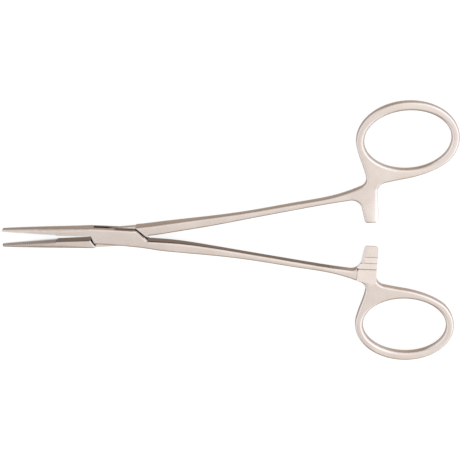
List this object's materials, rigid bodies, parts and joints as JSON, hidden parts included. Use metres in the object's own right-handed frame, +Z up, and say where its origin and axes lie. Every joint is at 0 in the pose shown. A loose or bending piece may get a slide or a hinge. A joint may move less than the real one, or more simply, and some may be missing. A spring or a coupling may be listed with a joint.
{
  "type": "hemostat forceps",
  "caption": "Straight clamping forceps with finger-ring handles, a box lock at the pivot, serrated jaws and a ratchet that holds them closed.",
  "frame": {"origin": "under the pivot, on the lower face of the box lock, which lies on the table", "axes": "+X from the pivot towards the finger rings, +Y towards the tongue half's ring, +Z up along the pivot"},
  "size_m": [0.1401, 0.084, 0.0042],
  "materials": {
    "satin_stainless": "forged stainless steel, ground and brushed to a satin sheen",
    "pin_stainless": "stainless pin, ground flush with the box lock"
  },
  "bodies": {
    "box": {"box_half": "satin_stainless", "pivot_pin": "pin_stainless"},
    "tongue": {"tongue_half": "satin_stainless"}
  },
  "joints": [
    {"name": "box_lock", "type": "hinge", "parent": "box", "child": "tongue", "pos_m": [0, 0, 0.0021], "axis": [0, 0, 1], "range_deg": [-6.6, 75]}
  ]
}
